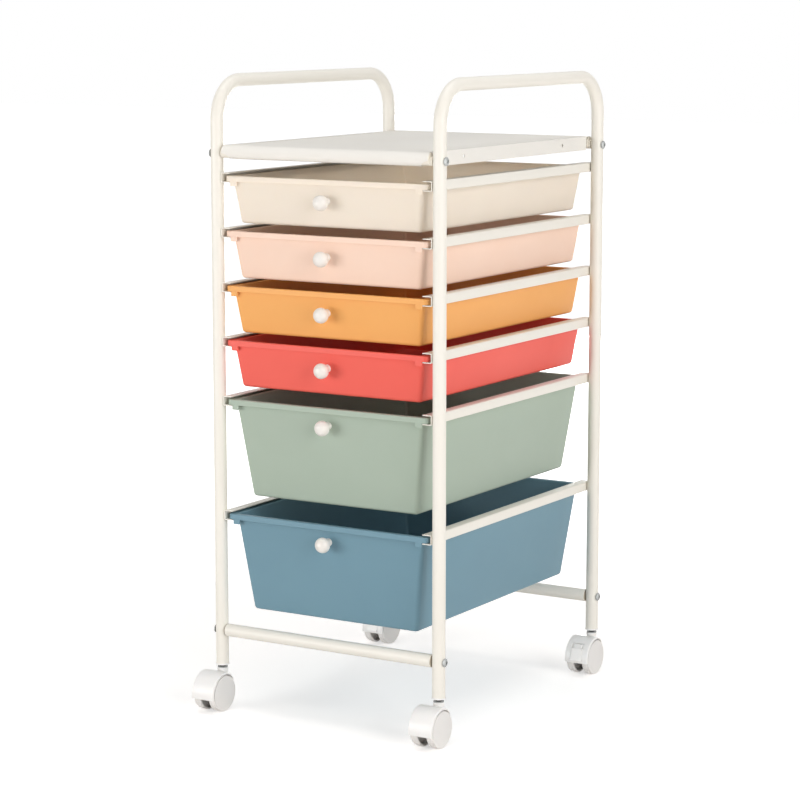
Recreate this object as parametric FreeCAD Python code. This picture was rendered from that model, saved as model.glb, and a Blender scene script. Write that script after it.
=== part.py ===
import FreeCAD, Part

import math
import os

from FreeCAD import Placement, Rotation, Vector

# Rolling drawer cart: two bent tube sides joined by a sheet shelf and two cross bars,
# six plastic drawers hung by their rims in channel runners, and four twin-wheel casters.
# Millimetres. +Z is up, the drawer fronts face -Y, and the floor is Z = 0.

# Bent tube sides
TUBE_DIAMETER = 16.0
TUBE_WALL = 1.2
POST_SPACING_X = 314.0
POST_SPACING_Y = 400.0
HANDLE_BEND_RADIUS = 48.0
HANDLE_RISE = 76.8

# Channel runners
RUNNER_SHEET = 1.0
RUNNER_FLANGE = 12.5
RUNNER_PROUD = 4.8
RUNNER_HEADROOM = 3.7

# Drawers: one plastic box shape in two depths
SHALLOW_DRAWERS = 4
DEEP_DRAWERS = 2
SHALLOW_DEPTH = 55.8
DEEP_DEPTH = 119.8
SHALLOW_SIDE_INSET = 8.0
SHALLOW_END_INSET = 7.2
DEEP_SIDE_INSET = 16.0
DEEP_END_INSET = 13.5
DRAWER_WALL = 1.8
DRAWER_CORNER_RADIUS = 6.0
DRAWER_BOTTOM_ROUND = 5.0
RIM_HEIGHT = 6.0
RIM_LIP = 1.8
RIM_TOP_THICKNESS = 2.0
RIM_CORNER_RADIUS = 7.0
RIM_PROUD = 4.5
RIM_SIDE_PLAY = 4.0
SHALLOW_END_OVERHANG = 3.0
DEEP_END_OVERHANG = 5.0
SHALLOW_SIDE_CLEARANCE = 0.7
DEEP_SIDE_CLEARANCE = 1.7
SLIDE_GAP = 0.3
TAB_WIDTH = 9.0
TAB_HEIGHT = 5.5
TAB_SIDE_CLEARANCE = 1.0

# Clear heights of the stack, from the cross bars up to the shelf
GAP_OVER_CROSS_BAR = 20.7
GAP_OVER_DEEP = 23.5
GAP_OVER_TOP_DEEP = 17.6
GAP_OVER_SHALLOW = 11.2
GAP_UNDER_SHELF = 21.3

# Knobs and their screws
KNOB_DIAMETER = 19.0
KNOB_NECK_DIAMETER = 11.0
KNOB_LENGTH = 25.0
KNOB_NECK_LENGTH = 14.0
KNOB_EDGE_HEIGHT = 4.0
SHALLOW_KNOB_DROP = 18.4
DEEP_KNOB_DROP = 14.9
KNOB_SCREW_DIAMETER = 4.0
KNOB_SCREW_HEAD_DIAMETER = 8.0
KNOB_SCREW_HEAD_HEIGHT = 2.4
KNOB_SCREW_BITE = 12.0
KNOB_BORE_SPARE = 1.0

# Top shelf
SHELF_SHEET = 1.0
SHELF_ROLL_DIAMETER = 17.0
SHELF_END_GAP = 3.0
SHELF_FLANGE_HEIGHT = 17.5
SHELF_FLANGE_GAP = 1.5
SHELF_LIP_ANGLE = 310.0
SHELF_TRIM_LENGTH = 12.0
SHELF_TRIM_HEIGHT = 7.0
FLANGE_HOLE_DIAMETER = 4.0
FLANGE_HOLE_SPACING = 250.0
SHELF_SCREW_DROP = 2.0
SHELF_PLUG_LENGTH = 24.0
SHELF_SPACER_DIAMETER = 11.0

# Cross bars
BAR_DIAMETER = 16.0
BAR_WALL = 1.2
BAR_RISE = 43.0
BAR_INSERT_LENGTH = 20.0

# Screws through the posts
SCREW_DIAMETER = 6.0
SCREW_HEAD_DIAMETER = 10.5
SCREW_HEAD_HEIGHT = 3.0
SCREW_HEAD_EDGE = 1.0
SCREW_SOCKET_WIDTH = 4.0
SCREW_SOCKET_DEPTH = 1.8
SCREW_BITE = 14.0

# Sockets in the foot of each post
SOCKET_FLANGE_DIAMETER = 17.2
SOCKET_FLANGE_HEIGHT = 1.8
SOCKET_HEADROOM = 4.0

# Twin-wheel casters
WHEEL_DIAMETER = 46.0
WHEEL_GAP = 12.6
WHEEL_TREAD_WIDTH = 10.0
WHEEL_DOME = 2.0
WHEEL_EDGE_ROUND = 1.5
WHEEL_BAND_WIDTH = 3.5
WHEEL_BAND_RISE = 0.8
WHEEL_BORE_COVER = 2.0
AXLE_DIAMETER = 6.0
AXLE_END_GAP = 0.5
CASTER_TRAIL = 18.0
HOOD_CLEARANCE = 1.0
HOOD_WALL = 3.0
HOOD_EDGE_ROUND = 1.2
HOOD_FRONT_ANGLE = -9.0
HOOD_REAR_ANGLE = 168.0
HOOD_WEB_CLEARANCE = 0.3
HOOD_BOSS_RADIUS = 7.5
HOOD_WEB_OVERLAP = 0.5
COLLAR_DIAMETER = 13.6
COLLAR_RISE = 1.5
COLLAR_REACH = 38.0
STEM_DIAMETER = 8.0
STEM_DEPTH = 18.0
STEM_REVEAL = 3.5
STEM_FLANGE_DIAMETER = 13.2
STEM_FLANGE_HEIGHT = 1.5
STEM_FLANGE_GAP = 0.3

# Brake levers on the rear casters
LEVER_WIDTH = 16.0
LEVER_SIDE_GAP = 0.3
LEVER_FOOT_ANGLE = -2.0
LEVER_STEP_ANGLE = 32.0
LEVER_PIVOT_ANGLE = 46.0
LEVER_WINDOW_ANGLES = (-4.0, 51.0)
LEVER_PROUD = 0.4
LEVER_STEP = 1.8
LEVER_RIB = 0.9
LEVER_RIB_WIDTH = 11.0
LEVER_INNER_GAP = 0.6
LEVER_TRUNNION_DIAMETER = 1.6
LEVER_TRUNNION_LENGTH = 2.0

# Fits and cutting allowance
FIT_CLEARANCE = 0.02
RUNNING_CLEARANCE = 0.05
OVERRUN = 5.0

# Heights worked out from the floor up
wheel_radius = WHEEL_DIAMETER / 2
hood_inner_radius = wheel_radius + HOOD_CLEARANCE
hood_outer_radius = hood_inner_radius + HOOD_WALL
collar_top = wheel_radius + hood_outer_radius + COLLAR_RISE
socket_foot = collar_top + STEM_REVEAL
tube_end = socket_foot + SOCKET_FLANGE_HEIGHT
bar_height = tube_end + BAR_RISE
bar_top = bar_height + BAR_DIAMETER / 2
socket_top = bar_height - SCREW_DIAMETER / 2 - SOCKET_HEADROOM

# Half widths worked out from the posts inwards
post_x = POST_SPACING_X / 2
post_y = POST_SPACING_Y / 2
tube_radius = TUBE_DIAMETER / 2
post_inner_x = post_x - tube_radius
post_outer_x = post_x + tube_radius
runner_tip_x = post_inner_x - RUNNER_FLANGE
rim_half_x = post_inner_x - RUNNER_SHEET - RIM_SIDE_PLAY
rim_half_y = post_y + RIM_PROUD
runner_half_y = post_y + RUNNER_PROUD
runner_height = 2 * RUNNER_SHEET + SLIDE_GAP + RIM_HEIGHT + RUNNER_HEADROOM

# Each kind of drawer: depth, half sizes under the rim, insets at the floor and knob height
SHALLOW = {
    "depth": SHALLOW_DEPTH,
    "half_width": runner_tip_x - SHALLOW_SIDE_CLEARANCE,
    "half_length": rim_half_y - SHALLOW_END_OVERHANG,
    "side_inset": SHALLOW_SIDE_INSET,
    "end_inset": SHALLOW_END_INSET,
    "knob_drop": SHALLOW_KNOB_DROP,
}
DEEP = {
    "depth": DEEP_DEPTH,
    "half_width": runner_tip_x - DEEP_SIDE_CLEARANCE,
    "half_length": rim_half_y - DEEP_END_OVERHANG,
    "side_inset": DEEP_SIDE_INSET,
    "end_inset": DEEP_END_INSET,
    "knob_drop": DEEP_KNOB_DROP,
}
drawer_kinds = [SHALLOW] * SHALLOW_DRAWERS + [DEEP] * DEEP_DRAWERS


def stack_rim_heights():
    """Underside height of every drawer's rim, top drawer first."""
    heights = []
    drawer_floor = bar_top + GAP_OVER_CROSS_BAR
    kinds_from_floor = list(reversed(drawer_kinds))
    for place, kind in enumerate(kinds_from_floor):
        rim_top = drawer_floor + kind["depth"]
        heights.insert(0, rim_top - RIM_HEIGHT)
        kind_above = kinds_from_floor[place + 1] if place + 1 < len(kinds_from_floor) else kind
        if kind is DEEP and kind_above is DEEP:
            drawer_floor = rim_top + GAP_OVER_DEEP
        elif kind is DEEP:
            drawer_floor = rim_top + GAP_OVER_TOP_DEEP
        else:
            drawer_floor = rim_top + GAP_OVER_SHALLOW
    return heights


rim_heights = stack_rim_heights()
shelf_roll_radius = SHELF_ROLL_DIAMETER / 2
shelf_bottom = rim_heights[0] + RIM_HEIGHT + GAP_UNDER_SHELF
shelf_top = shelf_bottom + SHELF_ROLL_DIAMETER
shelf_roll_height = shelf_bottom + shelf_roll_radius
shelf_half_x = post_inner_x - SHELF_END_GAP
shelf_screw_height = shelf_roll_height - SHELF_SCREW_DROP
handle_height = shelf_top + HANDLE_RISE

# The casters trail to the front, so the middle of the whole part lies ahead of the posts' middle
front_reach = post_y + CASTER_TRAIL + hood_outer_radius
rear_reach = post_y + max(tube_radius, SOCKET_FLANGE_DIAMETER / 2)
middle_shift = (front_reach - rear_reach) / 2

screw_hole_radius = SCREW_DIAMETER / 2 + FIT_CLEARANCE
knob_hole_radius = KNOB_SCREW_DIAMETER / 2 + FIT_CLEARANCE

ALONG_X = Vector(1, 0, 0)
ALONG_Y = Vector(0, 1, 0)
UP = Vector(0, 0, 1)
SIDES = {"left": -1, "right": 1}
ENDS = {"front": -1, "rear": 1}


def slab(x_span, y_span, z_span):
    """Box between pairs of coordinates."""
    low = Vector(min(x_span), min(y_span), min(z_span))
    high = Vector(max(x_span), max(y_span), max(z_span))
    size = high - low
    return Part.makeBox(size.x, size.y, size.z, low)


def rod(radius, start, end):
    """Round bar from one point to another."""
    along = end - start
    return Part.makeCylinder(radius, along.Length, start, along)


def ring_face(centre, normal, outer_radius, inner_radius):
    """Flat ring, the cut section of a tube."""
    outer = Part.Face(Part.Wire(Part.makeCircle(outer_radius, centre, normal)))
    inner = Part.Face(Part.Wire(Part.makeCircle(inner_radius, centre, normal)))
    return outer.cut(inner).Faces[0]


def cap_arc(edge, crown):
    """Arc from an edge point to a crown on the axis, round about a centre on that axis."""
    axis = (crown - Vector(0, 0, 0)).normalize()
    edge_along = edge.dot(axis)
    edge_out = (edge - axis * edge_along).Length
    rise = crown.Length - edge_along
    ball_radius = (edge_out ** 2 + rise ** 2) / (2 * rise)
    half_angle = math.atan2(edge_out, ball_radius - rise) / 2
    outward = (edge - axis * edge_along).normalize()
    centre = crown - axis * ball_radius
    to_middle = axis * math.cos(half_angle) + outward * math.sin(half_angle)
    return Part.Arc(edge, centre + to_middle * ball_radius, crown).toShape()


def rounded_rectangle(half_x, half_y, radius, height):
    """Closed outline of a rectangle with round corners, lying flat at a height."""
    edges = []
    corner_turns = ((1, 1), (-1, 1), (-1, -1), (1, -1))
    arcs = []
    for sign_x, sign_y in corner_turns:
        centre = Vector(sign_x * (half_x - radius), sign_y * (half_y - radius), height)
        start_angle = math.degrees(math.atan2(sign_y, sign_x)) - 45
        arcs.append(Part.makeCircle(radius, centre, UP, start_angle, start_angle + 90))
    for arc, next_arc in zip(arcs, arcs[1:] + arcs[:1]):
        edges.append(arc)
        edges.append(Part.makeLine(arc.Vertexes[-1].Point, next_arc.Vertexes[0].Point))
    return Part.Wire(edges)


def side_tube(side):
    """One side: a tube bent to an inverted U, with cross holes for the shelf and bar screws."""
    x = SIDES[side] * post_x
    inner_radius = tube_radius - TUBE_WALL
    bend_height = handle_height - HANDLE_BEND_RADIUS
    bend_y = post_y - HANDLE_BEND_RADIUS
    pieces = []
    for sign in ENDS.values():
        foot = ring_face(Vector(x, sign * post_y, tube_end), UP, tube_radius, inner_radius)
        pieces.append(foot.extrude(Vector(0, 0, bend_height - tube_end)))
        shoulder = ring_face(Vector(x, sign * post_y, bend_height), UP, tube_radius, inner_radius)
        pivot = Vector(x, sign * bend_y, bend_height)
        pieces.append(shoulder.revolve(pivot, ALONG_X * sign, 90))
    grip = ring_face(Vector(x, -bend_y, handle_height), ALONG_Y, tube_radius, inner_radius)
    pieces.append(grip.extrude(Vector(0, 2 * bend_y, 0)))
    tube = pieces[0].fuse(pieces[1:]).removeSplitter()
    reach = tube_radius + OVERRUN
    for sign in ENDS.values():
        for height in (shelf_screw_height, bar_height):
            middle = Vector(x, sign * post_y, height)
            tube = tube.cut(rod(screw_hole_radius, middle - ALONG_X * reach, middle + ALONG_X * reach))
    return tube


def runner(side, rim_height):
    """Channel welded to the inside of two posts, open towards the drawer."""
    sign = SIDES[side]
    bottom = rim_height - SLIDE_GAP - RUNNER_SHEET
    span = (-runner_half_y, runner_half_y)
    outer = slab((sign * runner_tip_x, sign * post_inner_x), span, (bottom, bottom + runner_height))
    hollow_x = (sign * (runner_tip_x - OVERRUN), sign * (post_inner_x - RUNNER_SHEET))
    hollow_y = (-runner_half_y - OVERRUN, runner_half_y + OVERRUN)
    hollow_z = (bottom + RUNNER_SHEET, bottom + runner_height - RUNNER_SHEET)
    return outer.cut(slab(hollow_x, hollow_y, hollow_z))


def tub(kind, inset, floor_lift, top):
    """Tapered tray form of a drawer, shrunk by an inset and with its floor lifted."""
    depth = kind["depth"]
    bottom = RIM_HEIGHT - depth
    radius = DRAWER_CORNER_RADIUS - inset
    sections = []
    for height in (bottom + floor_lift, top):
        share = (RIM_HEIGHT - height) / depth
        half_x = kind["half_width"] - share * kind["side_inset"] - inset
        half_y = kind["half_length"] - share * kind["end_inset"] - inset
        sections.append(rounded_rectangle(half_x, half_y, radius, height))
    form = Part.makeLoft(sections, True, True)
    floor_top = bottom + floor_lift + FIT_CLEARANCE
    floor_edges = [edge for edge in form.Edges if edge.BoundBox.ZMax < floor_top]
    return form.makeFillet(DRAWER_BOTTOM_ROUND - inset, floor_edges)


def front_wall(kind):
    """Placement of the knob: on the drawer's sloping front, with Z along the outward normal."""
    slope = kind["end_inset"] / kind["depth"]
    height = -kind["knob_drop"]
    y = -(kind["half_length"] - slope * (RIM_HEIGHT - height))
    normal = Vector(0, -1, -slope).normalize()
    return Placement(Vector(0, y, height), Rotation(UP, normal))


def drawer_box(kind):
    """Moulded box: tapered tray, turned-down rim that hangs in the runners, and two guide tabs."""
    outer = tub(kind, 0, 0, RIM_HEIGHT)
    inner = tub(kind, DRAWER_WALL, DRAWER_WALL, RIM_HEIGHT + OVERRUN)
    rim = Part.Face(rounded_rectangle(rim_half_x, rim_half_y, RIM_CORNER_RADIUS, 0))
    rim = rim.extrude(Vector(0, 0, RIM_HEIGHT))
    under_sizes = [size - RIM_LIP for size in (rim_half_x, rim_half_y, RIM_CORNER_RADIUS)]
    under = Part.Face(rounded_rectangle(*under_sizes, -OVERRUN))
    under_rise = OVERRUN + RIM_HEIGHT - RIM_TOP_THICKNESS
    rim = rim.cut(under.extrude(Vector(0, 0, under_rise)))
    box = rim.fuse(outer)
    tab_reach = runner_tip_x - TAB_SIDE_CLEARANCE
    tab_y = (-rim_half_y, -rim_half_y + RIM_LIP)
    for start in (-tab_reach, tab_reach - TAB_WIDTH):
        box = box.fuse(slab((start, start + TAB_WIDTH), tab_y, (-TAB_HEIGHT, RIM_HEIGHT / 2)))
    box = box.cut(inner)
    hole_reach = UP * (DRAWER_WALL + OVERRUN)
    hole = rod(knob_hole_radius, -hole_reach, hole_reach)
    hole.Placement = front_wall(kind)
    return box.cut(hole).removeSplitter()


def knob(kind):
    """Round moulded knob: waisted neck, wide edge and domed face, with a blind screw bore."""
    radius = KNOB_DIAMETER / 2
    neck_radius = KNOB_NECK_DIAMETER / 2
    edge_low = KNOB_NECK_LENGTH
    edge_high = KNOB_NECK_LENGTH + KNOB_EDGE_HEIGHT
    flare_share = 0.7
    flare_middle = Vector((radius + neck_radius) / 2, 0, edge_low * flare_share)
    base = Vector(neck_radius, 0, 0)
    low_edge = Vector(radius, 0, edge_low)
    high_edge = Vector(radius, 0, edge_high)
    crown = Vector(0, 0, KNOB_LENGTH)
    outline = Part.Wire([
        Part.makeLine(Vector(0, 0, 0), base),
        Part.Arc(base, flare_middle, low_edge).toShape(),
        Part.makeLine(low_edge, high_edge),
        cap_arc(high_edge, crown),
        Part.makeLine(crown, Vector(0, 0, 0)),
    ])
    body = Part.Face(outline).revolve(Vector(0, 0, 0), UP, 360)
    bore_depth = KNOB_SCREW_BITE + KNOB_BORE_SPARE
    body = body.cut(rod(knob_hole_radius, -UP * OVERRUN, UP * bore_depth))
    body.Placement = front_wall(kind)
    return body


def knob_screw(kind):
    """Pan-head screw put in from inside the drawer, through its front wall into the knob."""
    slope = kind["end_inset"] / kind["depth"]
    wall = DRAWER_WALL / math.hypot(1, slope)
    head = Part.makeCylinder(KNOB_SCREW_HEAD_DIAMETER / 2, KNOB_SCREW_HEAD_HEIGHT, Vector(0, 0, 0))
    head = head.makeFillet(KNOB_SCREW_HEAD_HEIGHT / 3, [head.Edges[2]])
    head.translate(Vector(0, 0, -wall - KNOB_SCREW_HEAD_HEIGHT))
    shank_start = Vector(0, 0, -wall - KNOB_SCREW_HEAD_HEIGHT / 2)
    screw = head.fuse(rod(KNOB_SCREW_DIAMETER / 2, shank_start, Vector(0, 0, KNOB_SCREW_BITE)))
    screw.Placement = front_wall(kind)
    return screw


def roll_point(end, radius, angle):
    """Point of a shelf roll's section at one end: angle 90 is its top, 180 its outer side."""
    turn = math.radians(angle)
    y = end * (post_y - radius * math.cos(turn))
    return Vector(-shelf_half_x, y, shelf_roll_height + radius * math.sin(turn))


def roll_arc(end, radius, start, finish):
    """Arc of a shelf roll's section between two angles."""
    angles = (start, (start + finish) / 2, finish)
    return Part.Arc(*(roll_point(end, radius, angle) for angle in angles)).toShape()


def shelf_section():
    """Closed section of the shelf's sheet: flat top with both edges rolled under."""
    outer = shelf_roll_radius
    inner = shelf_roll_radius - SHELF_SHEET
    lip = SHELF_LIP_ANGLE
    return Part.Wire([
        roll_arc(-1, outer, lip, 90),
        Part.makeLine(roll_point(-1, outer, 90), roll_point(1, outer, 90)),
        roll_arc(1, outer, 90, lip),
        Part.makeLine(roll_point(1, outer, lip), roll_point(1, inner, lip)),
        roll_arc(1, inner, lip, 90),
        Part.makeLine(roll_point(1, inner, 90), roll_point(-1, inner, 90)),
        roll_arc(-1, inner, 90, lip),
        Part.makeLine(roll_point(-1, inner, lip), roll_point(-1, outer, lip)),
    ])


def top_shelf():
    """Sheet shelf: flat top, front and rear edges rolled under, side flanges folded down."""
    shelf = Part.Face(shelf_section()).extrude(Vector(2 * shelf_half_x, 0, 0))
    flange_half_y = post_y - shelf_roll_radius - SHELF_FLANGE_GAP
    for side in SIDES.values():
        for end in ENDS.values():
            shelf = shelf.cut(roll_trim(side, end))
        flange_x = (side * shelf_half_x, side * (shelf_half_x - SHELF_SHEET))
        flange_z = (shelf_top - SHELF_FLANGE_HEIGHT, shelf_top - SHELF_SHEET / 2)
        flange = slab(flange_x, (-flange_half_y, flange_half_y), flange_z)
        for end in ENDS.values():
            middle = Vector(side * shelf_half_x, end * FLANGE_HOLE_SPACING / 2, shelf_roll_height)
            hole = rod(FLANGE_HOLE_DIAMETER / 2, middle - ALONG_X * OVERRUN, middle + ALONG_X * OVERRUN)
            flange = flange.cut(hole)
        shelf = shelf.fuse(flange)
    return shelf.removeSplitter()


def roll_trim(side, end):
    """Round-cornered piece trimmed off the lower end of a roll, where it meets the post."""
    end_x = side * shelf_half_x
    start = Vector(end_x - side * SHELF_TRIM_LENGTH, 0, shelf_bottom)
    finish = Vector(end_x, 0, shelf_bottom + SHELF_TRIM_HEIGHT)
    bow_share = 0.62
    bow_x = end_x - side * SHELF_TRIM_LENGTH * bow_share
    bow = Vector(bow_x, 0, shelf_bottom + SHELF_TRIM_HEIGHT * bow_share)
    low_start = Vector(start.x, 0, shelf_bottom - OVERRUN)
    far = Vector(end_x + side * OVERRUN, 0, finish.z)
    low_far = Vector(far.x, 0, low_start.z)
    outline = Part.Wire([
        Part.Arc(start, bow, finish).toShape(),
        Part.makeLine(finish, far),
        Part.makeLine(far, low_far),
        Part.makeLine(low_far, low_start),
        Part.makeLine(low_start, start),
    ])
    depth = shelf_roll_radius + OVERRUN
    trim = Part.Face(outline).extrude(Vector(0, end * depth, 0))
    trim.translate(Vector(0, end * post_y, 0))
    return trim


def shelf_end_plug(side, end):
    """Plug in the end of a roll, with a spacer to the post and an off-centre screw bore."""
    y = end * post_y
    axis_end = Vector(side * shelf_half_x, y, shelf_roll_height)
    plug_radius = shelf_roll_radius - SHELF_SHEET - RUNNING_CLEARANCE
    plug = rod(plug_radius, axis_end - ALONG_X * side * SHELF_PLUG_LENGTH, axis_end)
    bore_end = Vector(side * post_inner_x, y, shelf_screw_height)
    spacer_start = Vector(side * shelf_half_x, y, shelf_screw_height)
    plug = plug.fuse(rod(SHELF_SPACER_DIAMETER / 2, spacer_start, bore_end))
    bore_start = bore_end - ALONG_X * side * (SHELF_END_GAP + SHELF_PLUG_LENGTH + OVERRUN)
    return plug.cut(rod(screw_hole_radius, bore_start, bore_end + ALONG_X * side * OVERRUN))


def cross_bar(end):
    """Round tube between the two sides, cut square at both ends."""
    start = Vector(-post_inner_x, ENDS[end] * post_y, bar_height)
    section = ring_face(start, ALONG_X, BAR_DIAMETER / 2, BAR_DIAMETER / 2 - BAR_WALL)
    return section.extrude(Vector(2 * post_inner_x, 0, 0))


def cross_bar_insert(side, end):
    """Threaded insert in the end of a cross bar."""
    mouth = Vector(side * post_inner_x, end * post_y, bar_height)
    back = mouth - ALONG_X * side * BAR_INSERT_LENGTH
    insert = rod(BAR_DIAMETER / 2 - BAR_WALL - FIT_CLEARANCE, back, mouth)
    overrun = ALONG_X * side * OVERRUN
    return insert.cut(rod(screw_hole_radius, back - overrun, mouth + overrun))


def post_screw(side, end, height):
    """Button-head screw with a hexagon socket, through a post from its outer side."""
    head_radius = SCREW_HEAD_DIAMETER / 2
    shank_radius = SCREW_DIAMETER / 2
    shank_length = TUBE_DIAMETER + SCREW_BITE
    edge = Vector(head_radius, 0, SCREW_HEAD_EDGE)
    crown = Vector(0, 0, SCREW_HEAD_HEIGHT)
    outline = Part.Wire([
        Part.makeLine(Vector(0, 0, -shank_length), Vector(shank_radius, 0, -shank_length)),
        Part.makeLine(Vector(shank_radius, 0, -shank_length), Vector(shank_radius, 0, 0)),
        Part.makeLine(Vector(shank_radius, 0, 0), Vector(head_radius, 0, 0)),
        Part.makeLine(Vector(head_radius, 0, 0), edge),
        cap_arc(edge, crown),
        Part.makeLine(crown, Vector(0, 0, -shank_length)),
    ])
    screw = Part.Face(outline).revolve(Vector(0, 0, 0), UP, 360)
    socket_floor = SCREW_HEAD_HEIGHT - SCREW_SOCKET_DEPTH
    corner_radius = SCREW_SOCKET_WIDTH / math.sqrt(3)
    corners = []
    for turn in range(0, 361, 60):
        angle = math.radians(turn)
        corner = Vector(math.cos(angle), math.sin(angle), 0) * corner_radius
        corners.append(corner + UP * socket_floor)
    hexagon = Part.Face(Part.makePolygon(corners))
    screw = screw.cut(hexagon.extrude(Vector(0, 0, SCREW_HEAD_HEIGHT)))
    seat = Vector(side * post_outer_x, end * post_y, height)
    screw.Placement = Placement(seat, Rotation(UP, ALONG_X * side))
    return screw


def post_socket(side, end):
    """Plastic socket pushed into the foot of a post, with a collar under the tube's end."""
    foot = Vector(side * post_x, end * post_y, socket_foot)
    collar = Part.makeCylinder(SOCKET_FLANGE_DIAMETER / 2, SOCKET_FLANGE_HEIGHT, foot)
    sleeve_radius = tube_radius - TUBE_WALL - FIT_CLEARANCE
    socket = collar.fuse(Part.makeCylinder(sleeve_radius, socket_top - socket_foot, foot))
    bore_end = Vector(foot.x, foot.y, socket_top + OVERRUN)
    return socket.cut(rod(STEM_DIAMETER / 2 + FIT_CLEARANCE, foot - UP * OVERRUN, bore_end))


def caster_stem(side, end):
    """Steel stem from the caster's collar up into the post's socket, with a flange over the collar."""
    foot = Vector(side * post_x, end * post_y, collar_top - STEM_DEPTH)
    stem = Part.makeCylinder(STEM_DIAMETER / 2, socket_top - foot.z, foot)
    flange_foot = Vector(foot.x, foot.y, collar_top + STEM_FLANGE_GAP)
    return stem.fuse(Part.makeCylinder(STEM_FLANGE_DIAMETER / 2, STEM_FLANGE_HEIGHT, flange_foot))


def hood_point(radius, angle):
    """Point about the axle in the hood's middle plane: angle 0 is to the front, 90 is up."""
    turn = math.radians(angle)
    return Vector(0, -radius * math.cos(turn), radius * math.sin(turn))


def hood_sector(inner_radius, outer_radius, angles, width):
    """Part of a ring about the axle between two angles, centred across the caster."""
    start, finish = angles
    middle = (start + finish) / 2
    outline = Part.Wire([
        Part.Arc(*(hood_point(outer_radius, angle) for angle in (start, middle, finish))).toShape(),
        Part.makeLine(hood_point(outer_radius, finish), hood_point(inner_radius, finish)),
        Part.Arc(*(hood_point(inner_radius, angle) for angle in (finish, middle, start))).toShape(),
        Part.makeLine(hood_point(inner_radius, start), hood_point(outer_radius, start)),
    ])
    sector = Part.Face(outline).extrude(Vector(width, 0, 0))
    sector.translate(Vector(-width / 2, 0, 0))
    return sector


def axle_rod(radius, half_length):
    """Round bar along the axle's line, centred across the caster."""
    return rod(radius, -ALONG_X * half_length, ALONG_X * half_length)


def at_caster(shape, side, end):
    """Moves a piece drawn about the axle's middle to its caster."""
    shape.translate(Vector(side * post_x, end * post_y - CASTER_TRAIL, wheel_radius))
    return shape


hood_width = WHEEL_GAP + 2 * WHEEL_TREAD_WIDTH
lever_pivot_radius = (hood_inner_radius + hood_outer_radius) / 2


def caster_hood(side, end, braked):
    """Moulded hood over both wheels, with the swivel collar and the web that holds the axle."""
    angles = (HOOD_FRONT_ANGLE, HOOD_REAR_ANGLE)
    shell = hood_sector(hood_inner_radius, hood_outer_radius, angles, hood_width)
    rims = [edge for edge in shell.Edges if is_outer_rim(edge)]
    shell = shell.makeFillet(HOOD_EDGE_ROUND, rims)
    wheel_room = axle_rod(hood_inner_radius, hood_width)
    collar_foot = Vector(0, CASTER_TRAIL, collar_top - wheel_radius - COLLAR_REACH)
    collar = Part.makeCylinder(COLLAR_DIAMETER / 2, COLLAR_REACH, collar_foot).cut(wheel_room)
    web_half = WHEEL_GAP / 2 - HOOD_WEB_CLEARANCE
    web = axle_rod(hood_inner_radius + HOOD_WEB_OVERLAP, web_half)
    reach = hood_outer_radius + OVERRUN
    web_room = slab((-web_half, web_half), (-HOOD_BOSS_RADIUS, reach), (-HOOD_BOSS_RADIUS, reach))
    hood = shell.fuse([collar, web.common(web_room)])
    hood = hood.cut(axle_rod(AXLE_DIAMETER / 2 + FIT_CLEARANCE, hood_width))
    stem_foot = Vector(0, CASTER_TRAIL, collar_top - wheel_radius - STEM_DEPTH - RUNNING_CLEARANCE)
    stem_room = STEM_DEPTH + RUNNING_CLEARANCE + OVERRUN
    hood = hood.cut(Part.makeCylinder(STEM_DIAMETER / 2 + RUNNING_CLEARANCE, stem_room, stem_foot))
    if braked:
        window_width = LEVER_WIDTH + 2 * LEVER_SIDE_GAP
        window_radii = (hood_inner_radius - OVERRUN, hood_outer_radius + OVERRUN)
        window = hood_sector(*window_radii, LEVER_WINDOW_ANGLES, window_width)
        front_of_web = slab((-reach, reach), (-reach, -HOOD_BOSS_RADIUS), (-reach, reach))
        hood = hood.cut(window.common(front_of_web))
        hood = hood.cut(lever_trunnions(RUNNING_CLEARANCE))
    return at_caster(hood.removeSplitter(), side, end)


def is_outer_rim(edge):
    """True for the two curved outer edges of a hood's shell."""
    if not isinstance(edge.Curve, Part.Circle):
        return False
    return abs(edge.Curve.Radius - hood_outer_radius) < FIT_CLEARANCE


def lever_trunnions(clearance):
    """Two short pins, one each side of a brake lever, on its tipping axis."""
    pivot = hood_point(lever_pivot_radius, LEVER_PIVOT_ANGLE)
    reach = ALONG_X * (LEVER_WIDTH / 2 + LEVER_TRUNNION_LENGTH + clearance)
    return rod(LEVER_TRUNNION_DIAMETER / 2 + clearance, pivot - reach, pivot + reach)


def brake_lever(side, end):
    """Curved lever in the hood's front: a raised toe pad, and a narrower rib up to its pivot."""
    inner = hood_inner_radius + LEVER_INNER_GAP
    outer = hood_outer_radius + LEVER_PROUD
    plate = hood_sector(inner, outer, (LEVER_FOOT_ANGLE, LEVER_PIVOT_ANGLE), LEVER_WIDTH)
    pad = hood_sector(inner, outer + LEVER_STEP, (LEVER_FOOT_ANGLE, LEVER_STEP_ANGLE), LEVER_WIDTH)
    rib_angles = (LEVER_STEP_ANGLE, LEVER_PIVOT_ANGLE)
    rib = hood_sector(inner, outer + LEVER_RIB, rib_angles, LEVER_RIB_WIDTH)
    pivot = hood_point(lever_pivot_radius, LEVER_PIVOT_ANGLE)
    knuckle_radius = (outer - inner) / 2 - LEVER_PROUD / 2
    half_width = ALONG_X * LEVER_WIDTH / 2
    knuckle = rod(knuckle_radius, pivot - half_width, pivot + half_width)
    lever = plate.fuse([pad, rib, knuckle, lever_trunnions(0)]).removeSplitter()
    return at_caster(lever, side, end)


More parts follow.
